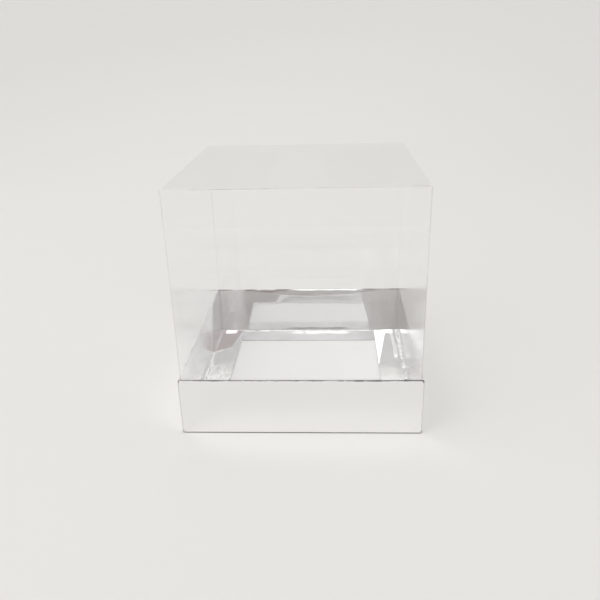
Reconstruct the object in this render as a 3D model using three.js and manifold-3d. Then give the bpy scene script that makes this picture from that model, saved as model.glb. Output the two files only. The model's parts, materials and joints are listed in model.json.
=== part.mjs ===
// A clear gift box: a cover folded from clear film, closed by a tuck-in top, standing in a shallow
// tray folded from silver-faced card with rolled double walls.
//
// Units are millimetres and +Z is up. The front faces -Y. The origin is the centre of the tray's
// underside. Each sheet is followed along its middle, from panel to panel, so that the panels meet
// at their creases.

import * as THREE from "three";
import { mergeVertices } from "three/addons/utils/BufferGeometryUtils.js";
import Module from "manifold-3d";

// The tray
const trayWidth = 100;
const trayDepth = 100;
const trayHeight = 25;
const cardThickness = 0.25;
const cardFoldRadius = 0.3; // of the middle of the sheet, in a square fold
const layerGap = 0.04; // between two sheets that lie on each other
const sideWallSetback = 0.2; // of a side wall's cut end from the tray's front and back faces
const cornerGap = 0.1; // between the turn-ins that meet at a corner
const flangeWidth = 13;
const flangeRelief = 1.2; // how far a flange's end draws back at its free edge
const tabLength = 22;
const tabTaper = 2.5; // how far a tab narrows at its free end, above and below
const tabEdgeClearance = 1; // from the floor and from the rim

// The cover
const coverHeight = 102;
const filmThickness = 0.3;
const filmFoldRadius = 0.3;
const coverClearance = 0.15; // from each wall of the tray
const seatGap = 0.1; // under the cover's bottom edge
const creaseGap = 0.05; // between two panels that turn on each other
const glueFlapWidth = 12;
const glueFlapTaper = 3;
const glueFlapInset = 3; // from the wall's top and bottom edges
const glueGap = 0.05;

// The tuck-in top
const tuckClearance = 0.3; // from the front wall's inner face
const tuckLength = 15;
const tuckLean = THREE.MathUtils.degToRad(8); // inwards from upright
const tuckSideInset = 0.8; // from the inner faces of the side walls
const tuckCornerRadius = 8;
const lockSlitLength = 7; // of the slits that part the flap's ends from the top panel
const lockSlitWidth = 0.5;
const topSideInset = 0.2;
const topCornerRadius = 1;
const dustFlapLength = 38;
const dustFlapGap = 0.1; // under the top panel
const dustFlapFrontInset = 4;
const dustFlapBackInset = 1.5;
const dustFlapBackAngle = THREE.MathUtils.degToRad(30);
const dustFlapFrontAngle = THREE.MathUtils.degToRad(4);
const dustFlapStep = 1.5; // the shoulder behind the tuck flap
const dustFlapStepLength = 7;
const dustFlapCornerRadius = 6;

const arcSteps = 8;
const quarterTurn = Math.PI / 2;

// Sizes that follow from those above
const tabSpace = cardThickness + 2 * layerGap; // between a wall and its turn-in
const rimRadius = (cardThickness + tabSpace) / 2;
const rollSpringLine = trayHeight - cardThickness / 2 - rimRadius; // where the wall starts to roll over
const doubleWall = 2 * cardThickness + tabSpace;
const floorEdge = cardFoldRadius + cardThickness / 2; // of a wall's outer face from the floor's edge
const tabOffset = 1.5 * cardThickness + layerGap; // of a tab's middle from the tray's outer face
const innerWidth = trayWidth - 2 * doubleWall;
const innerDepth = trayDepth - 2 * doubleWall;
const endFlangeLevel = cardThickness + layerGap;
const sideFlangeLevel = endFlangeLevel + cardThickness + layerGap;
const coverSeat = sideFlangeLevel + cardThickness + seatGap;
const coverWidth = innerWidth - 2 * coverClearance;
const coverDepth = innerDepth - 2 * coverClearance;
const topUnderside = coverHeight - filmThickness;
const dustFlapTop = topUnderside - dustFlapGap;

const silver = new THREE.MeshStandardMaterial({ color: 0xd6d7d9, roughness: 0.12, metalness: 1 });
const whiteCard = new THREE.MeshStandardMaterial({ color: 0xf1f0eb, roughness: 0.85, metalness: 0 });
const clearFilm = new THREE.MeshStandardMaterial({
  color: 0xf3f7f8,
  roughness: 0.06,
  metalness: 0,
  transparent: true,
  opacity: 0.25,
});

const wasm = await Module();
wasm.setup();

/** The course of a sheet seen on edge: it walks along the sheet's middle and keeps both faces. */
class Sheet {
  constructor(thickness, x, y, heading) {
    this.half = thickness / 2;
    this.x = x;
    this.y = y;
    this.heading = heading;
    this.left = [];
    this.right = [];
    this.mark();
  }

  /** Keeps the two faces' points beside the place that the walk has reached. */
  mark() {
    const acrossX = -Math.sin(this.heading) * this.half;
    const acrossY = Math.cos(this.heading) * this.half;
    this.left.push(new THREE.Vector2(this.x + acrossX, this.y + acrossY));
    this.right.push(new THREE.Vector2(this.x - acrossX, this.y - acrossY));
  }

  run(length) {
    this.x += length * Math.cos(this.heading);
    this.y += length * Math.sin(this.heading);
    this.mark();
    return this;
  }

  /** Folds the sheet to the left by a positive angle, or to the right by a negative one. */
  fold(angle, radius) {
    const side = Math.sign(angle);
    const centreX = this.x - side * radius * Math.sin(this.heading);
    const centreY = this.y + side * radius * Math.cos(this.heading);
    const start = this.heading;
    for (let i = 1; i <= arcSteps; i++) {
      this.heading = start + (angle * i) / arcSteps;
      this.x = centreX + side * radius * Math.sin(this.heading);
      this.y = centreY - side * radius * Math.cos(this.heading);
      this.mark();
    }
    return this;
  }

  /** The next panel of the same sheet, which starts where this one ends. */
  next() {
    return new Sheet(2 * this.half, this.x, this.y, this.heading);
  }

  shape() {
    return new THREE.Shape([...this.left, ...this.right.slice().reverse()]);
  }
}

function prism(shape, depth) {
  return new THREE.ExtrudeGeometry(shape, { depth, bevelEnabled: false, curveSegments: arcSteps });
}

/** A wall's section, with outwards along x and up along y, drawn out along the wall's length. */
function alongWall(shape, length) {
  return prism(shape, length).translate(0, 0, -length / 2).rotateX(quarterTurn);
}

/** A prism of an outline that is drawn in a wall's own plane, centred on the plane x = 0. */
function acrossWall(shape, depth) {
  return prism(shape, depth).translate(0, 0, -depth / 2).rotateX(quarterTurn).rotateZ(quarterTurn);
}

function solidOf(geometry) {
  const bare = geometry.clone().deleteAttribute("normal").deleteAttribute("uv");
  const merged = mergeVertices(bare, 1e-5);
  const mesh = new wasm.Mesh({
    numProp: 3,
    vertProperties: merged.attributes.position.array,
    triVerts: new Uint32Array(merged.index.array),
  });
  return new wasm.Manifold(mesh);
}

/** What a bent strip and the prism of its cut outline have in common. */
function trimmed(strip, outline) {
  const mesh = solidOf(strip).intersect(solidOf(outline)).getMesh();
  const geometry = new THREE.BufferGeometry();
  geometry.setAttribute("position", new THREE.BufferAttribute(mesh.vertProperties, 3));
  geometry.setIndex(new THREE.BufferAttribute(mesh.triVerts, 1));
  geometry.computeVertexNormals();
  return geometry;
}

function piece(name, geometry, material) {
  const mesh = new THREE.Mesh(geometry, material);
  mesh.name = name;
  return mesh;
}

/** A closed outline through corners [x, y, radius], each rounded where it has a radius. */
function roundedOutline(corners) {
  const shape = new THREE.Shape();
  const count = corners.length;
  corners.forEach(([x, y, radius = 0], i) => {
    const [beforeX, beforeY] = corners[(i + count - 1) % count];
    const [afterX, afterY] = corners[(i + 1) % count];
    const corner = new THREE.Vector2(x, y);
    const towards = (toX, toY) => new THREE.Vector2(toX, toY).sub(corner).normalize();
    const back = towards(beforeX, beforeY);
    const ahead = towards(afterX, afterY);
    const halfAngle = back.angleTo(ahead) / 2;
    const cut = radius / Math.tan(halfAngle);
    const start = corner.clone().addScaledVector(back, cut);
    const end = corner.clone().addScaledVector(ahead, cut);
    if (i === 0) {
      shape.moveTo(start.x, start.y);
    } else {
      shape.lineTo(start.x, start.y);
    }
    if (radius > 0) {
      shape.quadraticCurveTo(corner.x, corner.y, end.x, end.y);
    }
  });
  shape.closePath();
  return shape;
}

/** A flange's plan, from the turn-in's outer face inwards, with its ends drawn back. */
function flangeOutline(outer, inner, length) {
  const end = length / 2;
  return roundedOutline([
    [outer, -end],
    [outer, end],
    [inner, end - flangeRelief, flangeRelief / 2],
    [inner, -end + flangeRelief, flangeRelief / 2],
  ]);
}

/** One side of the tray: its wall, the turn-in rolled over it, and the flange on the floor. */
function traySide(name, reach, wallLength, turnInLength, flangeLevel, turn) {
  const side = new THREE.Group();
  side.rotation.z = turn;

  const middle = cardThickness / 2;
  const wall = new Sheet(cardThickness, reach - floorEdge, middle, 0);
  wall.fold(quarterTurn, cardFoldRadius);
  wall.run(rollSpringLine - wall.y);

  const turnIn = wall.next().fold(Math.PI, rimRadius);
  turnIn.run(turnIn.y - (flangeLevel + middle + cardFoldRadius));

  const flange = turnIn.next().fold(-quarterTurn, cardFoldRadius);
  flange.run(flangeWidth - cardFoldRadius);

  const inner = reach - doubleWall;
  const outline = flangeOutline(inner + cardThickness, inner - flangeWidth, turnInLength);
  const strip = alongWall(flange.shape(), turnInLength);
  side.add(
    piece(`tray_${name}_wall`, alongWall(wall.shape(), wallLength), silver),
    piece(`tray_${name}_turn_in`, alongWall(turnIn.shape(), turnInLength), silver),
    piece(`tray_${name}_flange`, trimmed(strip, prism(outline, trayHeight)), silver),
  );
  return side;
}

/** A tab on the end of the front or back wall, folded back inside a side wall. */
function cornerTab(name, across, along) {
  const wallPlane = -trayDepth / 2 + cardThickness / 2;
  const foldStart = trayWidth / 2 - tabOffset - cardFoldRadius;
  const sheet = new Sheet(cardThickness, foldStart, wallPlane, 0);
  sheet.fold(quarterTurn, cardFoldRadius).run(tabLength);

  const low = cardThickness + tabEdgeClearance;
  const high = rollSpringLine - tabEdgeClearance;
  const near = -trayDepth / 2;
  const far = sheet.y;
  const outline = roundedOutline([
    [near, low],
    [far, low + tabTaper, tabTaper / 2],
    [far, high - tabTaper, tabTaper / 2],
    [near, high],
  ]);
  const strip = prism(sheet.shape(), trayHeight);
  const cut = acrossWall(outline, 2 * trayWidth);
  const tab = piece(name, trimmed(strip, cut), silver);
  const group = new THREE.Group();
  group.scale.set(across, along, 1);
  group.add(tab);
  return group;
}

function tray() {
  const group = new THREE.Group();
  const floor = new THREE.BoxGeometry(
    trayWidth - 2 * floorEdge,
    trayDepth - 2 * floorEdge,
    cardThickness,
  );
  floor.translate(0, 0, cardThickness / 2);
  group.add(piece("tray_floor", floor, whiteCard));

  const sideLength = trayDepth - 2 * sideWallSetback;
  const endLength = trayWidth - 2 * (tabOffset + cardFoldRadius);
  const sideTurnIn = innerDepth - 2 * cornerGap;
  const halfWidth = trayWidth / 2;
  const halfDepth = trayDepth / 2;
  group.add(
    traySide("right", halfWidth, sideLength, sideTurnIn, sideFlangeLevel, 0),
    traySide("back", halfDepth, endLength, endLength, endFlangeLevel, quarterTurn),
    traySide("left", halfWidth, sideLength, sideTurnIn, sideFlangeLevel, Math.PI),
    traySide("front", halfDepth, endLength, endLength, endFlangeLevel, -quarterTurn),
    cornerTab("tray_front_right_tab", 1, 1),
    cornerTab("tray_front_left_tab", -1, 1),
    cornerTab("tray_back_right_tab", 1, -1),
    cornerTab("tray_back_left_tab", -1, -1),
  );
  return group;
}

/** The cover's four walls and its glue flap, which lies inside the back wall. */
function coverWalls() {
  const middle = filmThickness / 2;
  const sideX = coverWidth / 2 - middle;
  const frontFold = -(coverDepth / 2 - middle - filmFoldRadius);
  const sideHeight = dustFlapTop - filmThickness - creaseGap;
  const backHeight = topUnderside - creaseGap;
  const frontHeight = coverHeight - middle;

  const front = new Sheet(filmThickness, -sideX, frontFold, -quarterTurn);
  front.fold(quarterTurn, filmFoldRadius);
  front.run(2 * (sideX - filmFoldRadius));
  front.fold(quarterTurn, filmFoldRadius);

  const right = front.next().run(-2 * frontFold);
  const back = right.next().fold(quarterTurn, filmFoldRadius);
  back.run(back.x + coverWidth / 2);

  const gluePlane = coverDepth / 2 - filmThickness - glueGap - middle;
  const left = new Sheet(filmThickness, -sideX, frontFold, quarterTurn);
  left.run(gluePlane - filmFoldRadius - frontFold);
  const glue = left.next().fold(-quarterTurn, filmFoldRadius);
  glue.run(glueFlapWidth - filmFoldRadius);

  const low = glueFlapInset;
  const high = sideHeight - glueFlapInset;
  const glueOutline = roundedOutline([
    [-coverWidth / 2, low],
    [glue.x, low + glueFlapTaper],
    [glue.x, high - glueFlapTaper],
    [-coverWidth / 2, high],
  ]);
  const cut = prism(glueOutline, 2 * coverDepth).translate(0, 0, -coverDepth).rotateX(quarterTurn);
  const strip = prism(glue.shape(), coverHeight);
  return [
    piece("cover_front_wall", prism(front.shape(), frontHeight), clearFilm),
    piece("cover_right_wall", prism(right.shape(), sideHeight), clearFilm),
    piece("cover_back_wall", prism(back.shape(), backHeight), clearFilm),
    piece("cover_left_wall", prism(left.shape(), sideHeight), clearFilm),
    piece("cover_glue_flap", trimmed(strip, cut), clearFilm),
  ];
}

/** The top panel, which turns on the back wall's top edge, and the tuck flap on its front edge. */
function coverTop() {
  const halfWidth = coverWidth / 2 - topSideInset;
  const back = coverDepth / 2;
  const tuckLine = -(coverDepth / 2 - filmThickness - tuckClearance - filmThickness / 2);
  const front = tuckLine + creaseGap;
  const outline = roundedOutline([
    [-halfWidth, front, topCornerRadius],
    [halfWidth, front, topCornerRadius],
    [halfWidth, back],
    [-halfWidth, back],
  ]);
  const panel = piece("cover_top_panel", prism(outline, filmThickness), clearFilm);
  panel.position.z = topUnderside;

  // The flap hangs from y = 0 down to -tuckLength in its own plane, and then leans inwards.
  const tuckHalf = coverWidth / 2 - filmThickness - tuckSideInset;
  const crease = -filmThickness / 2 - creaseGap;
  const slitEnd = tuckHalf - lockSlitLength;
  const tuckOutline = roundedOutline([
    [-tuckHalf, -tuckLength, tuckCornerRadius],
    [tuckHalf, -tuckLength, tuckCornerRadius],
    [tuckHalf, crease - lockSlitWidth, lockSlitWidth],
    [slitEnd, crease - lockSlitWidth],
    [slitEnd, crease],
    [-slitEnd, crease],
    [-slitEnd, crease - lockSlitWidth],
    [-tuckHalf, crease - lockSlitWidth, lockSlitWidth],
  ]);
  const tuckGeometry = prism(tuckOutline, filmThickness).translate(0, 0, -filmThickness / 2);
  const tuck = piece("cover_tuck_flap", tuckGeometry, clearFilm);
  tuck.rotation.x = quarterTurn + tuckLean;
  tuck.position.set(0, tuckLine, coverHeight - filmThickness / 2);
  return [panel, tuck];
}

/** A dust flap, folded in from a side wall's top edge, under the top panel. */
function dustFlap(name, mirror) {
  const hinge = coverWidth / 2;
  const free = hinge - dustFlapLength;
  const front = -coverDepth / 2 + dustFlapFrontInset;
  const back = coverDepth / 2 - dustFlapBackInset;
  const stepX = hinge - dustFlapStepLength;
  const frontRun = dustFlapLength - dustFlapStepLength;
  const outline = roundedOutline([
    [hinge, front],
    [hinge, back],
    [free, back - dustFlapLength * Math.tan(dustFlapBackAngle), dustFlapCornerRadius],
    [free, front + dustFlapStep + frontRun * Math.tan(dustFlapFrontAngle), dustFlapCornerRadius],
    [stepX, front + dustFlapStep],
    [stepX, front],
  ]);
  const flap = piece(name, prism(outline, filmThickness), clearFilm);
  flap.position.z = dustFlapTop - filmThickness;
  flap.scale.x = mirror;
  return flap;
}

function cover() {
  const group = new THREE.Group();
  group.position.z = coverSeat;
  group.add(
    ...coverWalls(),
    ...coverTop(),
    dustFlap("cover_right_dust_flap", 1),
    dustFlap("cover_left_dust_flap", -1),
  );
  return group;
}

const box = new THREE.Group();
box.add(tray(), cover());
export default box;
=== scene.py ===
"""A clear film gift box that stands in a silver-faced card tray, in a white studio.

Every sheet is modelled flat and then folded, as the real one is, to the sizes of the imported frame.
"""

from __future__ import annotations

import json
import logging
import math
from collections.abc import Callable, Sequence
from dataclasses import dataclass, field
from enum import Enum

import bmesh
import bpy
from mathutils import Euler, Matrix, Vector

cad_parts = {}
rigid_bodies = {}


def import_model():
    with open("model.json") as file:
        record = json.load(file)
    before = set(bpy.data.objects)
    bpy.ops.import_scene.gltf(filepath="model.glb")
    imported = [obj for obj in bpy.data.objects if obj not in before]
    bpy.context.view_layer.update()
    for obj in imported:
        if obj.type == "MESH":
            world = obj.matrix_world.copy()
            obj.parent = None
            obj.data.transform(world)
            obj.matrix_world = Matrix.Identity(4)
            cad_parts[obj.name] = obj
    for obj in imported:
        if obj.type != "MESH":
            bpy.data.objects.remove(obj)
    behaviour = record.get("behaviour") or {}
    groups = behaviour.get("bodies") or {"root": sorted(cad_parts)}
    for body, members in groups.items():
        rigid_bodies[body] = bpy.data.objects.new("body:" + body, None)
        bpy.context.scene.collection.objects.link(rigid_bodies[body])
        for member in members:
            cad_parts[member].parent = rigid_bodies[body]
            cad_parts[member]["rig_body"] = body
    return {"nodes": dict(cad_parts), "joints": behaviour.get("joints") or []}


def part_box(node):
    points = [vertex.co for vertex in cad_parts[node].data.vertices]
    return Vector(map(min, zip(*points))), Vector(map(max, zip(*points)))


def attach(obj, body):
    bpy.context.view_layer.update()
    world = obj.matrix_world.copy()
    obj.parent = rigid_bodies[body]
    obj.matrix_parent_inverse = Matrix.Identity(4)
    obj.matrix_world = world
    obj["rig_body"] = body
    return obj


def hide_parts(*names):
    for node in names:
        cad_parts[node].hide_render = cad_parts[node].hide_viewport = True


log = logging.getLogger("gift_box")

MM = 0.001
NEAR = 1e-6  # how close two places are that count as one
ARC_STEPS = 10
QUARTER = math.pi / 2
X, Y, Z = range(3)

# Directions of the object's own. Foil whose normal is turned to one of them mirrors a lamp, or the
# dark screen, to someone who looks down at the front of the box.
RIDGE_FACING = (0.02, -0.783, 0.623)
LAMP_FACING = (0.02, -0.757, 0.653)
LEFT_LAMP_FACING = (0.14, -0.757, 0.653)
SCREEN_FACING = (0.0, -1.0, 0.34)
LOW_SCREEN_FACING = (0.0, -1.0, 0.38)
LEFT_SCREEN_FACING = (0.05, -0.93, 0.34)

Number = float | int
Point = Sequence[float]
Span = tuple[float, ...]
Test = Callable[[Vector], bool]
Triple = tuple[float, float, float]


def mm(*lengths: float) -> Span:
    """Returns lengths that are given in millimetres, in metres."""
    return tuple(length * MM for length in lengths)


# --- Shader graph ---


@dataclass(frozen=True)
class Grain:
    """A pattern of smooth noise from 0 to 1.

    Attributes:
        scale: Waves per metre.
        detail: Octaves of finer noise.
        stretch: A factor on the scale along each axis.
        distortion: How far the pattern swirls.
    """

    scale: float
    detail: float = 2.0
    stretch: Triple = (1.0, 1.0, 1.0)
    distortion: float = 0.0


class Value:
    """A shader socket that takes part in arithmetic, each step of which adds a Math node."""

    def __init__(self, graph: Graph, socket: bpy.types.NodeSocket) -> None:
        """Keeps the graph and the output socket."""
        self.graph = graph
        self.socket = socket

    def math(self, operation: str, *others: Value | Number) -> Value:
        """Adds a Math node.

        Args:
            operation: The Math node's operation.
            others: The second and third operands.

        Returns:
            The node's result.
        """
        inputs = dict(enumerate((self, *others)))
        return self.graph.node("Math", {"operation": operation}, inputs)

    def __add__(self, other: Value | Number) -> Value:
        """Returns the sum."""
        return self.math("ADD", other)

    def __sub__(self, other: Value | Number) -> Value:
        """Returns the difference."""
        return self.math("SUBTRACT", other)

    def __rsub__(self, other: Number) -> Value:
        """Returns the difference from a plain number."""
        return self.math("MULTIPLY_ADD", -1.0, other)

    def __mul__(self, other: Value | Number) -> Value:
        """Returns the product."""
        return self.math("MULTIPLY", other)

    __rmul__ = __mul__

    def __truediv__(self, other: Value | Number) -> Value:
        """Returns the quotient."""
        return self.math("DIVIDE", other)

    def __pow__(self, other: Number) -> Value:
        """Returns the power."""
        return self.math("POWER", other)

    def __abs__(self) -> Value:
        """Returns the size without its sign."""
        return self.math("ABSOLUTE")

    def over(self, low: float, high: float) -> Value:
        """Returns 0 below low and 1 above high, with a smooth step between them."""
        settings = {"interpolation_type": "SMOOTHSTEP"}
        inputs = {"Value": self, "From Min": low, "From Max": high}
        return self.graph.node("MapRange", settings, inputs)

    def within(self, start: float, full: float, full_end: float, end: float) -> Value:
        """Returns 1 between two smooth steps, and 0 before the first and after the second."""
        return self.over(start, full) * self.over(end, full_end)


class Graph:
    """The node tree of one material or of the world."""

    def __init__(self, tree: bpy.types.NodeTree) -> None:
        """Empties the tree.

        Args:
            tree: The node tree to fill.
        """
        self.tree = tree
        self.tree.nodes.clear()

    def node(
        self,
        kind: str,
        settings: dict[str, object] | None = None,
        inputs: dict[str | int, object] | None = None,
        output: str | int = 0,
    ) -> Value:
        """Adds a node of any kind.

        Args:
            kind: The node's type, without ShaderNode in front.
            settings: Its properties, which are set first.
            inputs: A value or a Value for each input that isn't left alone.
            output: The output to hand back.

        Returns:
            That output.
        """
        made = self.tree.nodes.new(f"ShaderNode{kind}")
        for name, setting in (settings or {}).items():
            setattr(made, name, setting)
        for key, given in (inputs or {}).items():
            if isinstance(given, Value):
                self.tree.links.new(given.socket, made.inputs[key])
            else:
                made.inputs[key].default_value = given
        outputs = made.outputs
        return Value(self, outputs[output] if len(outputs) else None)

    def place(self, stretch: Point = (1, 1, 1)) -> Value:
        """Returns the object's own coordinates, stretched along each axis."""
        where = self.node("TexCoord", output="Object")
        return self.node("Mapping", None, {"Vector": where, "Scale": tuple(stretch)})

    def axes(self) -> tuple[Value, Value, Value]:
        """Returns the object's own x, y and z."""
        split = self.node("SeparateXYZ", None, {"Vector": self.place()})
        outputs = split.socket.node.outputs
        return Value(self, outputs[0]), Value(self, outputs[1]), Value(self, outputs[2])

    def noise(self, grain: Grain) -> Value:
        """Returns a grain's value at each place."""
        inputs = {
            "Vector": self.place(grain.stretch),
            "Scale": grain.scale,
            "Detail": grain.detail,
            "Distortion": grain.distortion,
        }
        return self.node("TexNoise", None, inputs)

    def relief(self, grain: Grain, slope: float) -> Value:
        """Returns a grain's height, in metres, where its sides are about as steep as slope."""
        return self.noise(grain) * (slope / grain.scale)

    def bump(self, height: Value) -> Value:
        """Returns the normal of a surface that is raised by height, in metres."""
        inputs = {"Height": height, "Distance": 1.0, "Strength": 1.0}
        return self.node("Bump", None, inputs)

    def turned(self, normal: Value, share: Value, towards: Point) -> Value:
        """Returns the normal, turned by a share to a direction of the object's own."""
        settings = {"vector_type": "NORMAL", "convert_from": "OBJECT", "convert_to": "WORLD"}
        goal = self.node("VectorTransform", settings, {0: tuple(towards)})
        inputs = {0: share, 4: normal, 5: goal}
        mixed = self.node("Mix", {"data_type": "VECTOR"}, inputs, output=1)
        return self.node("VectorMath", {"operation": "NORMALIZE"}, {0: mixed})

    def blend_colour(self, share: Value, low: Point, high: Point) -> Value:
        """Returns a mix of two colours.

        Args:
            share: How much of the second colour shows.
            low: The first colour, as linear red, green and blue.
            high: The second colour.
        """
        inputs = {0: share, 6: (*low, 1.0), 7: (*high, 1.0)}
        return self.node("Mix", {"data_type": "RGBA"}, inputs, output=2)

    def principled(
        self, colour: object, roughness: Value, normal: Value, metallic: Value | Number = 0.0
    ) -> Value:
        """Returns a Principled shader."""
        inputs = {"Base Color": colour, "Roughness": roughness, "Normal": normal}
        return self.node("BsdfPrincipled", None, {**inputs, "Metallic": metallic})

    def clear(self, tint: Triple) -> Value:
        """Returns a Transparent shader."""
        return self.node("BsdfTransparent", None, {"Color": (*tint, 1.0)})

    def mix(self, share: Value | Number, first: Value, second: Value) -> Value:
        """Returns a mix of two shaders, with a share of the second."""
        return self.node("MixShader", None, {0: share, 1: first, 2: second})


# --- Finishes ---


class Finish:
    """The look of one material."""

    name: str

    def build(self) -> bpy.types.Material:
        """Returns the material."""
        material = bpy.data.materials.new(self.name)
        material.use_nodes = True
        graph = Graph(material.node_tree)
        graph.node("OutputMaterial", None, {"Surface": self.shader(graph)})
        return material

    def shader(self, graph: Graph) -> Value:
        """Returns the shader of the material's surface."""
        raise NotImplementedError


@dataclass
class Face:
    """A foil face while its wear is added, before it becomes a material."""

    graph: Graph
    plain: Triple
    colour: Value | tuple[float, ...]
    height: Value
    roughness: Value
    x: Value
    y: Value
    z: Value
    turns: list[tuple[Value, Triple]] = field(default_factory=list)

    def turn(self, share: Value, towards: Triple) -> None:
        """Turns the normal by a share, after its relief and after the turns before."""
        self.turns.append((share, towards))


class Wear:
    """One kind of wear of the foil."""

    def mark(self, face: Face) -> None:
        """Adds the wear to a face."""
        raise NotImplementedError


@dataclass(frozen=True)
class Lean(Wear):
    """An inner wall falls back, and further from a wavering line below its rim."""

    slope: float = 0.05
    rim_slope: float = 0.0
    rim_from: float = 16.2 * MM
    wander: Grain = Grain(45.0, stretch=(1.0, 1.0, 0.1))
    reach: float = 1.2 * MM

    def mark(self, face: Face) -> None:
        """Tilts the wall."""
        wander = (face.graph.noise(self.wander) - 0.5) * (2 * self.reach)
        above = (face.z + wander - self.rim_from).math("MAXIMUM", 0.0)
        face.height = face.height - face.z * self.slope - above**1.15 * self.rim_slope


@dataclass(frozen=True)
class Crush(Wear):
    """The back wall is crushed and tinted pinkish-brown under its rim, and dark at its sides."""

    slope: float = 1.4
    middle: float = 3.0 * MM
    half: float = 36.0 * MM
    depth: float = 3.2 * MM
    rim: Span = mm(24.5, 25.2)
    pleats: Grain = Grain(300.0, 2.0, (0.14, 0.14, 2.0), 0.3)
    blotches: Grain = Grain(90.0, 2.0, (0.4, 0.4, 3.0))
    stain: Triple = (0.40, 0.33, 0.32)
    side_from: float = 34.6 * MM

    def mark(self, face: Face) -> None:
        """Crushes and tints the rim, and turns the sides and the ridge."""
        graph, x, z = face.graph, face.x, face.z
        bow = 1 - ((x - self.middle) * (1 / self.half)) ** 2
        sag = bow.math("MAXIMUM", 0.0) * self.depth
        crushed = (z + sag).over(*self.rim)
        face.height += graph.noise(self.pleats) * crushed * (self.slope / self.pleats.scale)
        left = x.over(*mm(8.0, -2.0))
        tinted = crushed * left * graph.noise(self.blotches).over(0.40, 0.60)
        rim_band = crushed * (1 - crushed) * (left * 1.6 + 2.6)
        tinted = tinted.math("MAXIMUM", rim_band).math("MINIMUM", 1.0)
        face.colour = graph.blend_colour(tinted, face.plain, self.stain)
        aside = (abs(x) + z * 0.25).math("GREATER_THAN", self.side_from)
        corner = x.over(*mm(-8.0, -24.0)) * z.over(*mm(16.8, 18.0)) * 0.9
        face.turn(aside.math("MAXIMUM", corner), SCREEN_FACING)
        foot = aside * z.over(*mm(15.0, 10.0))
        face.turn(foot.math("MAXIMUM", crushed), LOW_SCREEN_FACING)
        face.turn(lit_ridge(graph, 24.3 * MM), RIDGE_FACING)


@dataclass(frozen=True)
class Spring(Wear):
    """A flange waves, its edges are ragged, and its back corners curl up to the lamp."""

    warp: float
    ragged: float
    tip: float = 0.0
    facing: Triple = LAMP_FACING
    waves: Grain = Grain(30.0, 1.0)
    wander: Grain = Grain(190.0)
    reach: float = 1.2 * MM
    rags: Grain = Grain(380.0, 3.0)

    def mark(self, face: Face) -> None:
        """Waves the flange, frays its edges and curls its corners."""
        graph = face.graph
        across = abs(face.x)
        outwards = across.math("MAXIMUM", abs(face.y))
        face.height += outwards * self.tip
        face.height += (outwards - 43.0 * MM) * graph.noise(self.waves) * self.warp
        wander = graph.noise(self.wander) * (2 * self.reach)
        frayed = (outwards + wander - self.reach).over(*mm(47.6, 48.6))
        face.height += graph.noise(self.rags) * frayed * (self.ragged / self.rags.scale)
        curl = (face.y + wander - self.reach).over(*mm(43.5, 44.5))
        face.turn(curl * across.within(*mm(39.0, 40.5, 46.0, 47.0)), self.facing)


@dataclass(frozen=True)
class Bow(Wear):
    """A flange bows up along its middle, and its torn back edge curls up and is dull."""

    pitch: float = 0.04
    tear: Grain = Grain(170.0)
    reach: float = 5.0 * MM
    curl_pitch: float = 0.12
    torn_roughness: float = 0.14

    def mark(self, face: Face) -> None:
        """Bows the flange and curls its torn edge."""
        x, y = face.x, face.y
        face.height += y * abs(x).over(*mm(38.0, 20.0)) * self.pitch
        lit = x.within(*mm(-16.0, -8.0, 18.0, 25.0))
        torn = (y + face.graph.noise(self.tear) * self.reach).over(*mm(46.0, 49.0))
        face.height += (y - 44.0 * MM) * lit * torn * self.curl_pitch
        face.roughness += lit * torn * self.torn_roughness


@dataclass(frozen=True)
class Fall(Wear):
    """The left flange is finely creased and falls away behind a slanting fold, where a dark
    reflection is painted into its colour.
    """

    slope: float = 0.14
    tarnish: Triple = (0.71, 0.64, 0.63)
    creases: Grain = Grain(90.0, 2.0, (2.4, 0.7, 0.3), 0.4)
    crease_slope: float = 0.03

    def mark(self, face: Face) -> None:
        """Creases the flange, drops what lies behind the fold, and paints a dark reflection on a
        patch of it.
        """
        x, y = face.x, face.y
        behind = (y - x * 0.72).over(*mm(55.6, 57.2))
        face.height = face.height - behind * (x + 43.0 * MM) * self.slope
        face.height += face.graph.relief(self.creases, self.crease_slope)
        # Painted reflection: this patch is darkened in colour so that it looks like a mirrored dark
        # thing.
        reflection_patch = behind * (x - y * 0.19).over(*mm(-45.4, -46.4))
        face.colour = face.graph.blend_colour(reflection_patch, face.plain, self.tarnish)


@dataclass(frozen=True)
class Facet(Wear):
    """The right flange's inner part and a strip by its wall stand up to the lamp."""

    wander: Grain = Grain(60.0, 1.0)
    reach: float = 1.0 * MM

    def mark(self, face: Face) -> None:
        """Turns the inner part and the strip."""
        edge = face.y * 0.16 + 35.0 * MM
        face.turn(face.x.math("LESS_THAN", edge), LAMP_FACING)
        wavy = face.x + (face.graph.noise(self.wander) - 0.5) * (2 * self.reach)
        strip = wavy.within(*mm(44.4, 44.9, 46.0, 46.6)) * face.y.over(*mm(12.0, 26.0))
        face.turn(strip * 0.8, LAMP_FACING)


@dataclass(frozen=True)
class CurledEnd(Wear):
    """The left wall's back end curls in along a slanting line, and is dark."""

    def mark(self, face: Face) -> None:
        """Turns the end."""
        face.turn((face.y - face.z * 0.5).over(*mm(16.5, 18.0)), LEFT_SCREEN_FACING)


def lit_ridge(graph: Graph, low: float) -> Value:
    """Returns where the back rim is pressed to a bright ridge, from a level up."""
    x, _, z = graph.axes()
    wander = graph.noise(Grain(130.0, 3.0)) - 0.5
    across = (x + wander * (12.0 * MM)).within(*mm(-10.0, -8.0, 28.0, 31.0))
    up = z + wander * (1.1 * MM)
    return across * up.over(low, low + 0.2 * MM) * z.over(*mm(24.96, 24.90))


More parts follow.
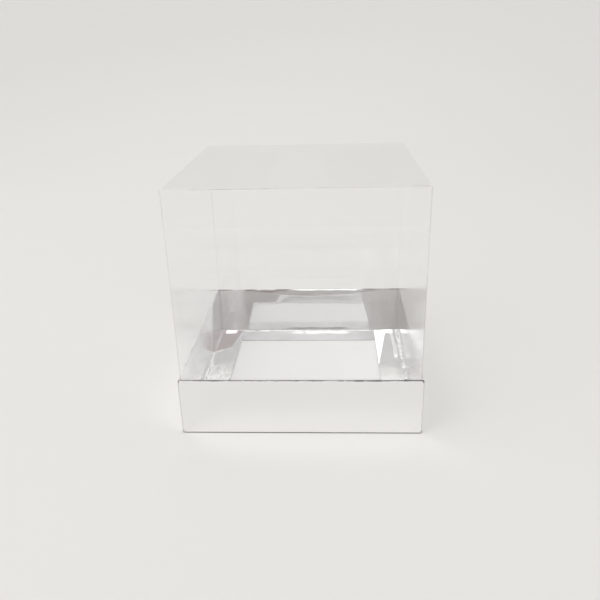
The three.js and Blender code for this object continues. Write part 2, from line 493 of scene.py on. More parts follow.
@dataclass(frozen=True)
class SilverFoil(Finish):
    """The mirror-bright silver face of the card, slightly wavy and finely pitted."""

    name: str = "silver_face"
    colour: Triple = (0.952, 0.950, 0.952)
    roughness: float = 0.08
    wear: tuple[Wear, ...] = ()
    waves: Grain = Grain(38.0, 1.0)
    wave_slope: float = 0.012
    peel: Grain = Grain(1100.0)
    peel_slope: float = 0.008
    handling: Grain = Grain(60.0, 5.0, distortion=0.6)
    handled_roughness: float = 0.07

    def shader(self, graph: Graph) -> Value:
        """Returns the shader."""
        waves = graph.relief(self.waves, self.wave_slope)
        peel = graph.relief(self.peel, self.peel_slope)
        handled = graph.noise(self.handling).over(0.45, 0.75)
        roughness = handled * self.handled_roughness + self.roughness
        colour = (*self.colour, 1.0)
        face = Face(graph, self.colour, colour, waves + peel, roughness, *graph.axes())
        for wear in self.wear:
            wear.mark(face)
        normal = graph.bump(face.height)
        for share, towards in face.turns:
            normal = graph.turned(normal, share, towards)
        return graph.principled(face.colour, face.roughness, normal, metallic=1.0)


@dataclass(frozen=True)
class CrackedFoil(Finish):
    """The silver face where the card is folded: crumpled, and broken through to the card. Its dark
    colour also serves as painted shade, at the walls' feet and along the front rim.
    """

    name: str = "silver_crease"
    colour: Triple = (0.93, 0.92, 0.91)
    bare: Triple = (0.24, 0.225, 0.215)
    crumple: Grain = Grain(900.0, 3.0, (0.45, 0.45, 1.0))
    crumple_slope: float = 0.45
    folds: Grain = Grain(150.0)
    fold_slope: float = 0.35
    breaks: Grain = Grain(140.0, 4.0, (1.0, 1.0, 3.0))
    least: float = 0.48
    most: float = 0.62
    worn_above: float | None = None
    fray: Grain = Grain(70.0, 4.0)
    ridged: bool = False

    def shader(self, graph: Graph) -> Value:
        """Returns the shader."""
        crumple = graph.relief(self.crumple, self.crumple_slope)
        height = crumple + graph.relief(self.folds, self.fold_slope)
        # Where this share is high the colour turns dark: cracks through the foil, and painted shade
        # in the foot and front rim finishes.
        bare_and_shaded = graph.noise(self.breaks).over(self.least, self.most)
        # Painted shade: above this level the front rim is dark, for the shade in the gap where the
        # film wall stands.
        if self.worn_above is not None:
            x, _, z = graph.axes()
            right_end = x.over(*mm(30, 48)) * (0.12 * MM)
            frayed = graph.noise(self.fray) * (0.26 * MM) + right_end
            shaded_rim = (z + frayed).over(self.worn_above, self.worn_above + 0.08 * MM)
            bare_and_shaded = bare_and_shaded.math("MAXIMUM", shaded_rim)
        normal = graph.bump(height)
        if self.ridged:
            ridge = lit_ridge(graph, 20.0 * MM)
            bare_and_shaded = bare_and_shaded * (1 - ridge)
            normal = graph.turned(normal, ridge, RIDGE_FACING)
        colour = graph.blend_colour(bare_and_shaded, self.colour, self.bare)
        return graph.principled(colour, bare_and_shaded * 0.3 + 0.14, normal, 1 - bare_and_shaded * 0.7)


@dataclass(frozen=True)
class CardBack(Finish):
    """The white, faintly fibrous back of the card."""

    name: str = "card_back"
    colour: Triple = (0.93, 0.925, 0.91)
    fleck: Triple = (0.86, 0.85, 0.83)
    roughness: float = 0.72
    fibres: Grain = Grain(900.0, 4.0, (1.0, 3.0, 1.0), 0.4)
    fibre_slope: float = 0.06
    flecks: Grain = Grain(380.0, 6.0, distortion=1.2)

    def shader(self, graph: Graph) -> Value:
        """Returns the shader."""
        fibres = graph.noise(self.fibres)
        flecks = graph.noise(self.flecks).over(0.62, 0.72)
        colour = graph.blend_colour(flecks * 0.35, self.colour, self.fleck)
        normal = graph.bump(fibres * (self.fibre_slope / self.fibres.scale))
        return graph.principled(colour, fibres * 0.12 + self.roughness, normal)


@dataclass(frozen=True)
class CardEdge(Finish):
    """The card's cut edge, where its layers show."""

    name: str = "card_edge"
    colour: Triple = (0.94, 0.935, 0.925)
    shade: Triple = (0.84, 0.83, 0.82)
    layers: Grain = Grain(2400.0, 3.0)
    height: float = 0.01 * MM

    def shader(self, graph: Graph) -> Value:
        """Returns the shader."""
        layers = graph.noise(self.layers).over(0.35, 0.65)
        colour = graph.blend_colour(layers, self.colour, self.shade)
        return graph.principled(colour, layers * 0.1 + 0.8, graph.bump(layers * self.height))


@dataclass(frozen=True)
class ClearFilm(Finish):
    """Clear film: it shows what is behind it and mirrors the room, most at a grazing angle."""

    name: str = "clear_film"
    tint: Triple = (0.999, 0.999, 0.999)
    index: float = 1.57
    roughness: float = 0.05
    rubbed: float = 0.0
    waves: Grain = Grain(22.0, 1.0)
    wave_slope: float = 0.006
    scuffs: Grain = Grain(70.0, 5.0, (1.0, 1.0, 6.0), 0.8)
    haze: float = 0.010

    def shader(self, graph: Graph) -> Value:
        """Returns the shader."""
        scuffs = graph.noise(self.scuffs).over(0.62, 0.8)
        normal = graph.bump(graph.relief(self.waves, self.wave_slope))
        one_face = graph.node("Fresnel", None, {"IOR": self.index, "Normal": normal})
        both_faces = 2 * one_face / (one_face + 1)
        rubbed = graph.axes()[Y].over(*mm(20.0, 6.0)) * self.rubbed
        entering = 1 - graph.node("NewGeometry", output="Backfacing")
        gloss_inputs = {
            "Color": (1.0, 1.0, 1.0, 1.0),
            "Roughness": scuffs * 0.08 + rubbed + self.roughness,
            "Normal": normal,
        }
        gloss = graph.node("BsdfGlossy", None, gloss_inputs)
        milk = graph.node("BsdfDiffuse", None, {"Color": (0.9, 0.9, 0.9, 1.0)})
        body = graph.mix(self.haze, graph.clear(self.tint), milk)
        return graph.mix(both_faces * entering, body, gloss)


@dataclass(frozen=True)
class Fade:
    """Where something comes in along an axis: none of it at start, and all of it at end."""

    axis: int
    start: float
    end: float


@dataclass(frozen=True)
class FilmLine(Finish):
    """Where the film is creased or cut: it bends what is behind it, and so looks darker."""

    name: str
    cover: float
    fades: tuple[Fade, ...] = ()
    least: float = 0.03
    tint: Triple = (0.985, 0.98, 0.98)
    shade: Triple = (0.36, 0.32, 0.32)
    breaks: Grain = Grain(95.0, 3.0)
    steady: float = 0.25
    nicks: Grain = Grain(2000.0)
    nick_height: float = 0.02 * MM

    def shader(self, graph: Graph) -> Value:
        """Returns the shader."""
        breaks = graph.noise(self.breaks).over(0.40, 0.60)
        nicks = graph.noise(self.nicks)
        normal = graph.bump(nicks * self.nick_height)
        body = graph.principled((*self.shade, 1.0), nicks * 0.2 + 0.15, normal)
        share = breaks * (self.cover * (1 - self.steady)) + self.cover * self.steady
        axes = graph.axes()
        for fade in self.fades:
            share = share * axes[fade.axis].over(fade.start, fade.end)
        return graph.mix(share + self.least, graph.clear(self.tint), body)


@dataclass(frozen=True)
class StudioPaper(Finish):
    """Seamless paper or cloth, which may change colour from left to right."""

    name: str = "studio_paper"
    colour: Triple = (0.86, 0.85, 0.822)
    right: Triple = (0.86, 0.85, 0.822)
    grain: Grain = Grain(400.0, 3.0)
    height: float = 0.01 * MM

    def shader(self, graph: Graph) -> Value:
        """Returns the shader."""
        grain = graph.noise(self.grain)
        share = graph.axes()[X].over(-0.25, 0.15)
        colour = graph.blend_colour(share, self.colour, self.right)
        return graph.principled(colour, grain * 0.1 + 0.8, graph.bump(grain * self.height))


# --- Sheets ---


class Facing(Enum):
    """The sides of the box, each with the turn about +Z that brings the right side to it."""

    RIGHT = 0
    BACK = 1
    LEFT = 2
    FRONT = 3

    @property
    def turn(self) -> float:
        """The turn in radians."""
        return self.value * QUARTER

    @property
    def word(self) -> str:
        """The side's name in the names of nodes."""
        return self.name.lower()

    @property
    def way(self) -> int:
        """1 on the right, or else -1."""
        return 1 if self is Facing.RIGHT else -1

    @property
    def sideways(self) -> bool:
        """Whether this is the right or the left side."""
        return self in (Facing.RIGHT, Facing.LEFT)

    def length(self, node: str) -> float:
        """Returns how long a node of this side is along the side."""
        low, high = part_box(node)
        return high.y - low.y if self.sideways else high.x - low.x


class Layer(Enum):
    """The material slots of a sheet before it is given its thickness."""

    FLAT = 0
    CREASE = 1


class Sheet:
    """One panel of a sheet, modelled flat, folded, and then given its thickness."""

    def __init__(
        self,
        name: str,
        size: tuple[float, float],
        centre: Point,
        turn: Point = (0, 0, 0),
        cuts: tuple[int, int] = (1, 1),
    ) -> None:
        """Lays down the flat part as a grid.

        Args:
            name: The panel's name.
            size: Its length along x and y before it is turned.
            centre: Its centre.
            turn: Its Euler angles.
            cuts: The faces along x and y.
        """
        self.name = name
        bpy.ops.object.select_all(action="DESELECT")
        place = {"location": tuple(centre), "rotation": tuple(turn)}
        bpy.ops.mesh.primitive_grid_add(
            x_subdivisions=cuts[0], y_subdivisions=cuts[1], size=1.0, **place
        )
        self.thing = bpy.context.object
        self.thing.name = name
        self.thing.scale = (*size, 1.0)
        self.settle()

    def choose(self) -> None:
        """Makes the panel the only selected object, and the active one."""
        bpy.ops.object.select_all(action="DESELECT")
        self.thing.select_set(True)
        bpy.context.view_layer.objects.active = self.thing

    def leave(self) -> Sheet:
        """Leaves edit mode."""
        bpy.ops.object.mode_set(mode="OBJECT")
        return self

    def settle(self) -> None:
        """Moves the object's place, turn and scale into its mesh."""
        self.choose()
        bpy.ops.object.transform_apply(location=True, rotation=True, scale=True)

    def pick(self, kind: str, test: Test) -> int:
        """Selects what passes a test, in edit mode.

        Args:
            kind: verts, edges or faces.
            test: Takes each vertex's place; all of an edge's or face's must pass.

        Returns:
            How many were selected.
        """
        bpy.ops.object.mode_set(mode="EDIT")
        bpy.ops.mesh.select_mode(type={"verts": "VERT", "edges": "EDGE", "faces": "FACE"}[kind])
        bpy.ops.mesh.select_all(action="DESELECT")
        mesh = bmesh.from_edit_mesh(self.thing.data)
        chosen = 0
        for item in getattr(mesh, kind):
            corners = [item] if kind == "verts" else item.verts
            if all(test(v.co) for v in corners):
                item.select_set(True)
                chosen += 1
        mesh.select_flush_mode()
        bmesh.update_edit_mesh(self.thing.data)
        return chosen

    def edge(self, test: Test) -> Sheet:
        """Selects the edges along one side of the panel."""
        if not self.pick("edges", test):
            raise ValueError(f"{self.name}: no edge there")
        return self

    def fold(self, centre: Point, axis: Point, angle: float) -> Sheet:
        """Spins the selected edges round a line, so that the sheet folds there.

        Args:
            centre: A point on the line.
            axis: The line's direction.
            angle: The fold, by the right-hand rule.
        """
        before = len(self.thing.data.polygons)
        bpy.ops.mesh.spin(
            steps=ARC_STEPS, angle=-angle, center=tuple(centre), axis=tuple(axis)
        )
        self.leave()
        for face in self.thing.data.polygons[before:]:
            face.material_index = Layer.CREASE.value
        return self

    def pull(self, move: Point) -> Sheet:
        """Extrudes what is selected."""
        bpy.ops.mesh.extrude_region_move(TRANSFORM_OT_translate={"value": tuple(move)})
        return self.leave()

    def trim(self, point: Point, outwards: Point, drop: bool = True) -> Sheet:
        """Cuts the selected faces along a plane, and can drop what lies outside it."""
        normal = Vector(outwards).normalized()
        bpy.ops.mesh.bisect(plane_co=tuple(point), plane_no=normal, clear_outer=drop)
        return self.leave()

    def round_corners(self, test: Test, radius: float) -> Sheet:
        """Rounds the corners that pass a test."""
        self.pick("verts", test)
        bpy.ops.mesh.bevel(offset=radius, segments=ARC_STEPS, affect="VERTICES", clamp_overlap=True)
        return self.leave()

    def all_faces(self) -> Sheet:
        """Selects the whole panel."""
        self.pick("faces", lambda p: True)
        return self

    def mirror(self, across: int, along: int) -> Sheet:
        """Mirrors the panel along x and y, wherever the factor is -1."""
        self.thing.scale = (across, along, 1)
        self.settle()
        if across * along < 0:
            self.all_faces()
            bpy.ops.mesh.flip_normals()
            self.leave()
        return self

    def thicken(
        self, thickness: float, skins: Sequence[bpy.types.Material], rim: int, back: int
    ) -> Sheet:
        """Dresses the sheet and gives it its thickness, half on each side.

        Args:
            thickness: In metres.
            skins: The material of each slot.
            rim: How many slots on the cut edge's material is.
            back: How many slots on the back's material is.
        """
        indices = [f.material_index for f in self.thing.data.polygons]
        for skin in skins:
            self.thing.data.materials.append(skin)
        self.thing.data.polygons.foreach_set("material_index", indices)
        bpy.ops.object.mode_set(mode="EDIT")
        bpy.ops.mesh.select_all(action="SELECT")
        bpy.ops.mesh.remove_doubles(threshold=NEAR)
        self.leave()
        wall = self.thing.modifiers.new("thickness", "SOLIDIFY")
        wall.thickness = thickness
        wall.offset = 0.0
        wall.use_even_offset = True
        wall.material_offset_rim = rim
        wall.material_offset = back
        bpy.ops.object.modifier_apply(modifier=wall.name)
        return self

    def turn_to(self, angle: float) -> Sheet:
        """Turns the panel about +Z."""
        self.thing.rotation_euler = Euler((0, 0, angle))
        self.settle()
        return self

    def place(self, turn: Point, where: Point) -> Sheet:
        """Turns the panel about the origin and then moves it."""
        self.thing.rotation_euler = Euler(tuple(turn))
        self.thing.location = tuple(where)
        self.settle()
        return self

    def finish(self, node: str) -> None:
        """Puts the panel in the frame.

        Args:
            node: The CAD node that it replaces.
        """
        self.choose()
        bpy.ops.object.shade_smooth_by_angle(angle=math.radians(30))
        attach(self.thing, FRAME["nodes"][node]["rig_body"])
        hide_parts(node)
        log.info("%s: %d faces", self.name, len(self.thing.data.polygons))


# --- The tray ---


Skins = Sequence[bpy.types.Material]


@dataclass(frozen=True)
class Tray:
    """The card tray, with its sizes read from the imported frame."""

    card: float
    half: float
    fold: float
    inner: float
    spring: float

    @classmethod
    def from_frame(cls) -> Tray:
        """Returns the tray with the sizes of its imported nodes."""
        floor_low, floor_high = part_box("tray_floor")
        wall_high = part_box("tray_right_wall")[1]
        card = floor_high.z - floor_low.z
        return cls(
            card=card,
            half=wall_high.x,
            fold=wall_high.x - floor_high.x - card / 2,
            inner=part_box("tray_right_turn_in")[0].x,
            spring=wall_high.z,
        )

    @property
    def roll(self) -> float:
        """The radius of the sheet's middle where it rolls over the rim."""
        return (self.half - self.inner - self.card) / 2

    def build(self) -> None:
        """Makes the finishes and builds every piece of the tray."""
        foil = SilverFoil().build()
        fallen = Lean(rim_slope=0.17)
        wall_foil = SilverFoil("silver_inner_wall", wear=(fallen,)).build()
        crushed = (fallen, Crush())
        # Painted shade: the back and right walls take darker copies of the silver foil, which
        # darkens their reflections.
        shaded_back_foil = SilverFoil("silver_back_wall", (0.87, 0.87, 0.87), wear=crushed).build()
        shaded_right_foil = SilverFoil("silver_side_wall", (0.86, 0.85, 0.86), 0.13, (Lean(),)).build()
        curled = (Lean(), CurledEnd())
        curled_foil = SilverFoil("silver_left_wall", roughness=0.13, wear=curled).build()
        flange_foil = SilverFoil("silver_flange", wear=(Spring(0.02, 0.7, 0.01), Bow())).build()
        fallen_end = (Spring(0.02, 0.5, facing=LEFT_LAMP_FACING), Fall())
        left_foil = SilverFoil("silver_left_flange", wear=fallen_end).build()
        lifted = (Facet(), Spring(0.04, 0.5, -0.01))
        right_foil = SilverFoil("silver_right_flange", wear=lifted).build()
        creased = CrackedFoil(bare=(0.40, 0.38, 0.365), least=0.54, most=0.66).build()
        back_rim = CrackedFoil(
            "silver_back_rim", bare=(0.16, 0.125, 0.12), least=0.42, most=0.54, ridged=True
        ).build()
        bent = CrackedFoil("silver_bend", crumple_slope=0.8, least=0.64, most=0.74).build()
        # Painted contact shadow: nearly all of each outer wall's foot fold is dark, where the tray
        # stands on the floor.
        foot = CrackedFoil(
            "silver_foot", bare=(0.07, 0.065, 0.06), crumple_slope=0.1, least=0.05, most=0.20
        ).build()
        # Painted shade: the dark line along the front rim's top stands for the gap by the film wall;
        # its other dark spots are cracks.
        shaded_rim = CrackedFoil(
            "silver_rim", bare=(0.11, 0.10, 0.095), crumple_slope=0.25, worn_above=24.97 * MM
        ).build()
        edge = CardEdge().build()
        # Painted shadow: the flanges' cut edges are darkened where they lie on the tray's floor.
        painted_shadow_edge = CardEdge("card_edge_shaded", (0.40, 0.39, 0.385), (0.24, 0.23, 0.225)).build()
        back = CardBack().build()
        rest = (edge, edge, back, back)
        walls = {
            Facing.RIGHT: (shaded_right_foil, creased, right_foil),
            Facing.BACK: (shaded_back_foil, back_rim, flange_foil),
            Facing.LEFT: (curled_foil, creased, left_foil),
            Facing.FRONT: (wall_foil, shaded_rim, flange_foil),
        }
        self.floor((back, edge, foil))
        for side, (hanging, rim, lying) in walls.items():
            self.wall(side, (foil, foot, *rest))
            self.turn_in(side, (hanging, rim, *rest))
            self.flange(side, (lying, bent, painted_shadow_edge, bent, back, back))
        for name in ("front_right", "front_left", "back_right", "back_left"):
            self.tab(name, (foil, back, *rest))

    def close(self, sheet: Sheet, node: str, skins: Skins, turn: float = 0.0) -> None:
        """Gives a panel its thickness, its place and its finish."""
        sheet.thicken(self.card, skins, rim=2, back=4).turn_to(turn)
        sheet.finish(node)

    def floor(self, skins: Skins) -> None:
        """Lays the floor, white above and silver below."""
        low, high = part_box("tray_floor")
        sheet = Sheet(
            "card_floor", (high.x - low.x, high.y - low.y), (0, 0, self.card / 2), cuts=(8, 8)
        )
        sheet.thicken(self.card, skins, rim=1, back=2)
        sheet.finish("tray_floor")

    def wall(self, side: Facing, skins: Skins) -> None:
        """Stands up an outer wall and folds its foot in to the floor."""
        node = f"tray_{side.word}_wall"
        x = self.half - self.card / 2
        foot = self.card / 2 + self.fold
        height = self.spring - foot
        centre = (x, 0, foot + height / 2)
        size = (height, side.length(node))
        sheet = Sheet(f"card_wall_{side.word}", size, centre, (0, QUARTER, 0), (4, 24))
        sheet.edge(lambda p: p.z < foot + NEAR)
        sheet.fold((x - self.fold, 0, foot), (0, 1, 0), QUARTER)
        self.close(sheet, node, skins, side.turn)

    def turn_in(self, side: Facing, skins: Skins) -> None:
        """Hangs an inner wall from the roll over the rim."""
        node = f"tray_{side.word}_turn_in"
        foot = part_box(node)[0].z
        x = self.inner + self.card / 2
        height = self.spring - foot
        centre = (x, 0, foot + height / 2)
        size = (height, side.length(node))
        sheet = Sheet(f"card_turn_in_{side.word}", size, centre, (0, -QUARTER, 0), (4, 24))
        sheet.edge(lambda p: p.z > self.spring - NEAR)
        sheet.fold((x + self.roll, 0, self.spring), (0, 1, 0), math.pi)
        self.close(sheet, node, skins, side.turn)

    def flange(self, side: Facing, skins: Skins) -> None:
        """Lays a flange on the floor and folds its outer edge up to the inner wall."""
        node = f"tray_{side.word}_flange"
        low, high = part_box(node)
        half_length = high.y if side.sideways else high.x
        free = {
            Facing.RIGHT: low.x,
            Facing.LEFT: -high.x,
            Facing.BACK: low.y,
            Facing.FRONT: -high.y,
        }[side]
        level = low.z + self.card / 2
        start = self.inner + self.card / 2 - self.fold
        width = start - free
        relief = width * 0.09
        corner = 0.6 * MM
        centre = (free + width / 2, 0, level)
        sheet = Sheet(f"card_flange_{side.word}", (width, 2 * half_length), centre, cuts=(6, 24))
        for way in (-1, 1):
            end = (start, way * half_length, level)
            sheet.all_faces().trim(end, (-relief, way * width, 0))
        ends = half_length - relief * 1.1
        sheet.round_corners(lambda p: p.x < free + NEAR and abs(p.y) > ends, corner)
        sheet.edge(lambda p: p.x > start - NEAR)
        sheet.fold((start, 0, level + self.fold), (0, 1, 0), -QUARTER)
        self.close(sheet, node, skins, side.turn)

    def tab(self, name: str, skins: Skins) -> None:
        """Folds a tab back from the end of the front or back wall."""
        node = f"tray_{name}_tab"
        low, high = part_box(node)
        x = max(abs(low.x), abs(high.x)) - self.card / 2
        start = -self.half + self.card / 2 + self.fold
        length = -min(abs(low.y), abs(high.y)) - start
        taper = 2.5 * MM
        centre = (x, start + length / 2, (low.z + high.z) / 2)
        sheet = Sheet(f"card_tab_{name}", (high.z - low.z, length), centre, (0, QUARTER, 0), (2, 8))
        for level, way in ((low.z, -1), (high.z, 1)):
            sheet.all_faces().trim((x, start, level), (0, taper, way * length))
        sheet.edge(lambda p: p.y < start + NEAR)
        sheet.fold((x - self.fold, start, 0), (0, 0, 1), -QUARTER)
        sheet.mirror(1 if "right" in name else -1, 1 if "front" in name else -1)
        self.close(sheet, node, skins)


# --- The cover ---


@dataclass(frozen=True)
class Cover:
    """The clear cover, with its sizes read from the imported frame."""

    film: float
    half: float
    fold: float

    @classmethod
    def from_frame(cls) -> Cover:
        """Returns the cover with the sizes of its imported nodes."""
        low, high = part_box("cover_top_panel")
        front_low, front_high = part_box("cover_front_wall")
        film = high.z - low.z
        depth = front_high.y - front_low.y
        return cls(film=film, half=front_high.x, fold=depth - film / 2)

    @property
    def wall(self) -> float:
        """How far a wall's middle stands from the box's middle."""
        return self.half - self.film / 2

    def build(self) -> None:
        """Makes the finishes and builds every piece of the cover."""
        film = ClearFilm().build()
        crease = FilmLine("film_crease", 0.10).build()
        low_band = Fade(Z, *mm(59, 64))
        high_band = Fade(Z, *mm(81, 77))
        left_half = Fade(X, *mm(10, -10))
        back_crease = FilmLine(
            "film_back_crease", 0.16, (low_band, high_band, left_half), 0.01
        ).build()
        top = Fade(Z, *mm(99.5, 101.5))
        front = Fade(Y, *mm(-43, -47))
        left_end = Fade(X, *mm(-40, -36))
        right_end = Fade(X, *mm(49.4, 47))
        edge = FilmLine(
            "film_edge", 0.19, (top, front, left_end, right_end), 0.0, shade=(0.12, 0.07, 0.07)
        ).build()
        rubbed = ClearFilm("clear_film_rubbed", roughness=0.06, rubbed=0.14).build()
        plain = (film, crease, edge, edge)
        behind = (film, back_crease, edge, edge)
        beside = (rubbed, crease, edge, edge)
        self.front_wall(plain)
        self.plain_wall(Facing.RIGHT, beside)
        self.plain_wall(Facing.LEFT, beside)
        self.back_wall(behind)
        self.glue_flap(behind)
        self.top_panel(plain)
        self.tuck_flap(plain)
        self.dust_flap(Facing.RIGHT, plain)
        self.dust_flap(Facing.LEFT, plain)

    def close(self, sheet: Sheet, skins: Skins) -> None:
        """Gives a panel its thickness and finish."""
        sheet.thicken(self.film, skins, rim=2, back=0)
        sheet.finish(sheet.name.replace("film", "cover"))

    def front_wall(self, skins: Skins) -> None:
        """The front wall, which folds back at both its ends."""
        low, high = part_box("cover_front_wall")
        reach = self.wall - self.fold
        height = high.z - low.z
        y = -self.wall
        centre = (0, y, low.z + height / 2)
        sheet = Sheet("film_front_wall", (2 * reach, height), centre, (QUARTER, 0, 0), (24, 24))
        for way in (-1, 1):
            sheet.edge(lambda p: p.x * way > reach - NEAR and p.y < y + NEAR)
            sheet.fold((way * reach, y + self.fold, 0), (0, 0, 1), way * QUARTER)
        self.close(sheet, skins)

    def plain_wall(self, side: Facing, skins: Skins) -> None:
        """A side wall, which is flat between the folds of its neighbours."""
        low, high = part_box(f"cover_{side.word}_wall")
        size = (high.z - low.z, high.y - low.y)
        centre = (side.way * self.wall, (low.y + high.y) / 2, (low.z + high.z) / 2)
        sheet = Sheet(f"film_{side.word}_wall", size, centre, (0, side.way * QUARTER, 0), (24, 24))
        self.close(sheet, skins)

    def back_wall(self, skins: Skins) -> None:
        """The back wall, which folds forwards at its right end."""
        low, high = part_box("cover_back_wall")
        reach = self.wall - self.fold
        height = high.z - low.z
        y = self.wall
        centre = ((reach + low.x) / 2, y, low.z + height / 2)
        sheet = Sheet(
            "film_back_wall", (reach - low.x, height), centre, (QUARTER, 0, math.pi), cuts=(24, 24)
        )
        sheet.edge(lambda p: p.x > reach - NEAR)
        sheet.fold((reach, y - self.fold, 0), (0, 0, 1), -QUARTER)
        self.close(sheet, skins)

    def glue_flap(self, skins: Skins) -> None:
        """The flap that closes the tube, inside the back wall."""
        low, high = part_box("cover_glue_flap")
        y = high.y - self.film / 2
        start = -self.wall + self.fold
        width = high.x - start
        taper = 3.0 * MM
        centre = (start + width / 2, y, (low.z + high.z) / 2)
        sheet = Sheet("film_glue_flap", (width, high.z - low.z), centre, (QUARTER, 0, 0), (6, 24))
        for level, way in ((low.z, -1), (high.z, 1)):
            sheet.all_faces().trim((start, y, level), (taper, 0, way * width))
        sheet.edge(lambda p: p.x < start + NEAR)
        sheet.fold((start, y - self.fold, 0), (0, 0, 1), QUARTER)
        self.close(sheet, skins)

    def top_panel(self, skins: Skins) -> None:
        """The top panel, with its two front corners rounded."""
        low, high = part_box("cover_top_panel")
        size = (high.x - low.x, high.y - low.y)
        corner = 1.0 * MM
        centre = ((low.x + high.x) / 2, (low.y + high.y) / 2, (low.z + high.z) / 2)
        sheet = Sheet("film_top_panel", size, centre, cuts=(24, 24))
        sheet.round_corners(lambda p: p.y < low.y + NEAR and abs(p.x) > high.x - NEAR, corner)
        self.close(sheet, skins)

    def tuck_flap(self, skins: Skins) -> None:
        """The tuck flap, drawn flat, rounded, slit at both ends of its crease, and leant back."""
        low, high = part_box("cover_tuck_flap")
        joint = next(j for j in FRAME["joints"] if j["name"] == "tuck_crease")
        lean = math.radians(8)
        drop, corner, slit, slit_length = mm(15.0, 8.0, 0.5, 7.0)
        top = self.film / 2 + 0.05 * MM + slit
        length = drop - top
        centre = (0, -top - length / 2, 0)
        sheet = Sheet("film_tuck_flap", (high.x - low.x, length), centre, cuts=(24, 4))
        sheet.round_corners(lambda p: p.y < -drop + NEAR and abs(p.x) > high.x - NEAR, corner)
        ear = high.x - slit_length
        for way in (-1, 1):
            sheet.all_faces().trim((way * ear, 0, 0), (1, 0, 0), drop=False)
        sheet.edge(lambda p: p.y > -top - NEAR and abs(p.x) < ear + NEAR)
        sheet.pull((0, slit, 0))
        sheet.place((QUARTER + lean, 0, 0), joint["pos_m"])
        self.close(sheet, skins)

    def dust_flap(self, side: Facing, skins: Skins) -> None:
        """A dust flap with its tapered back edge, its shoulder and its rounded corners."""
        low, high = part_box(f"cover_{side.word}_dust_flap")
        hinge = self.half
        length = high.x - low.x
        free = hinge - length
        step, shoulder, radius = mm(1.5, 7.0, 6.0)
        back_slant, front_slant = math.radians(30), math.radians(4)
        inner = hinge - shoulder
        front = low.y + step
        z = (low.z + high.z) / 2
        size = (inner - free, high.y - front)
        centre = ((inner + free) / 2, (high.y + front) / 2, z)
        sheet = Sheet(f"film_{side.word}_dust_flap", size, centre, cuts=(12, 24))
        sheet.edge(lambda p: p.x > inner - NEAR)
        sheet.pull((shoulder, 0, 0))
        sheet.edge(lambda p: p.y < front + NEAR and p.x > inner - NEAR)
        sheet.pull((0, -step, 0))
        sheet.all_faces().trim((hinge, high.y, z), (-math.sin(back_slant), math.cos(back_slant), 0))
        sheet.pick("faces", lambda p: p.x < inner + NEAR)
        sheet.trim((inner, front, z), (-math.sin(front_slant), -math.cos(front_slant), 0))
        back_corner = high.y - length * math.tan(back_slant)
        front_corner = front + (length - shoulder) * math.tan(front_slant)
        for corner in (back_corner, front_corner):
            at = Vector((free, corner, z))
            sheet.round_corners(lambda p: (p - at).length < 10 * NEAR, radius)
        sheet.mirror(side.way, 1)
        self.close(sheet, skins)


# --- The studio ---


@dataclass(frozen=True)
class Softbox:
    """A rectangular area light that looks at the box."""

    name: str
    place: Triple
    size: tuple[float, float]
    power: float
    colour: Triple
    aim: Triple = (0.0, 0.0, 0.05)

    def build(self) -> None:
        """Hangs the light."""
        lamp = bpy.data.lights.new(self.name, "AREA")
        lamp.shape = "RECTANGLE"
        lamp.size, lamp.size_y = self.size
        lamp.energy = self.power
        lamp.color = self.colour
        thing = bpy.data.objects.new(self.name, lamp)
        thing.visible_camera = False
        bpy.context.scene.collection.objects.link(thing)
        thing.location = self.place
        way = Vector(self.aim) - Vector(self.place)
        thing.rotation_euler = way.to_track_quat("-Z", "Y").to_euler()


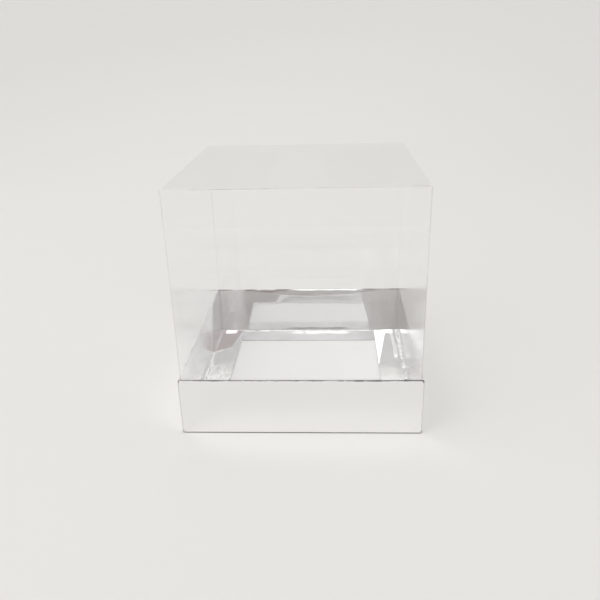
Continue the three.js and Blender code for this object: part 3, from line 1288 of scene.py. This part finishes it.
@dataclass(frozen=True)
class Studio:
    """The white sweep, the dark screen, the lights and the camera, in metres and degrees."""

    focal_px: float = 632.8
    frame_px: float = 600.0
    camera_place: Triple = (0.01314, -0.27194, 0.15297)
    yaw: float = -3.143
    pitch: float = 22.657
    roll: float = -1.585
    paper_size: tuple[float, float] = (5.0, 2.4)
    paper_back: float = 0.45
    paper_bend: float = 0.9
    paper_rise: float = 1.6
    screen_size: tuple[float, float] = (1.07, 0.75)
    screen_place: Triple = (-0.315, -1.3, 0.5)
    room_light: float = 0.81

    def build(self) -> None:
        """Builds the whole studio."""
        self.sweep()
        self.dark_side()
        self.world()
        Softbox("key", (-0.75, -0.60, 0.95), (0.8, 0.8), 2.55, (1.0, 0.99, 0.98)).build()
        Softbox("front", (0.125, -0.72, 1.02), (0.46, 0.36), 0.65, (1.0, 0.995, 0.99)).build()
        Softbox("window", (-0.14, 0.55, 0.62), (0.75, 0.50), 0.42, (0.98, 1.0, 0.99)).build()
        self.camera()
        scene = bpy.context.scene
        scene.view_settings.view_transform = "Standard"
        scene.view_settings.look = "None"
        scene.cycles.transparent_max_bounces = 64
        scene.cycles.max_bounces = 16
        scene.cycles.glossy_bounces = 12
        scene.cycles.caustics_reflective = True
        scene.cycles.blur_glossy = 0.1

    def sweep(self) -> None:
        """Bends a sheet of paper up behind the box."""
        back, bend = self.paper_back, self.paper_bend
        sheet = Sheet("studio_sweep", self.paper_size, (0, back - self.paper_size[1] / 2, 0))
        sheet.edge(lambda p: p.y > back - NEAR)
        sheet.fold((0, back, bend), (1, 0, 0), QUARTER)
        sheet.edge(lambda p: p.y > back + bend - NEAR)
        sheet.pull((0, 0, self.paper_rise))
        for face in sheet.thing.data.polygons:
            face.material_index = Layer.FLAT.value
        sheet.thing.data.materials.append(StudioPaper().build())
        bpy.ops.object.shade_smooth()

    def dark_side(self) -> None:
        """Stands a dark screen behind the camera, which the foil mirrors."""
        sheet = Sheet("studio_screen", self.screen_size, self.screen_place, (QUARTER, 0, 0))
        # Painted light: the cloth is lighter towards the right, as if that side were lit more.
        cloth = StudioPaper("screen_cloth", (0.33, 0.297, 0.29), (0.43, 0.41, 0.40))
        sheet.thing.data.materials.append(cloth.build())

    def world(self) -> None:
        """Fills the room with soft light."""
        room = bpy.data.worlds.new("room")
        bpy.context.scene.world = room
        room.use_nodes = True
        graph = Graph(room.node_tree)
        inputs = {"Color": (1.0, 0.997, 1.0, 1.0), "Strength": self.room_light}
        light = graph.node("Background", None, inputs)
        graph.node("OutputWorld", None, {"Surface": light})

    def camera(self) -> None:
        """Sets the camera where the photograph was taken."""
        data = bpy.data.cameras.new("camera")
        data.sensor_fit = "HORIZONTAL"
        data.sensor_width = 36.0
        data.lens = self.focal_px / self.frame_px * data.sensor_width
        data.clip_start = 0.005
        thing = bpy.data.objects.new("camera", data)
        bpy.context.scene.collection.objects.link(thing)
        look = Euler((QUARTER - math.radians(self.pitch), 0, -math.radians(self.yaw)))
        roll = Matrix.Rotation(math.radians(self.roll), 3, "Z")
        thing.rotation_euler = (look.to_matrix() @ roll).to_euler()
        thing.location = self.camera_place
        bpy.context.scene.camera = thing


def main() -> None:
    """Builds the box and the studio."""
    logging.basicConfig(level=logging.INFO, format="%(name)s %(message)s")
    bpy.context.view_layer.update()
    Tray.from_frame().build()
    Cover.from_frame().build()
    Studio().build()


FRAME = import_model()

if __name__ == "__main__":
    main()
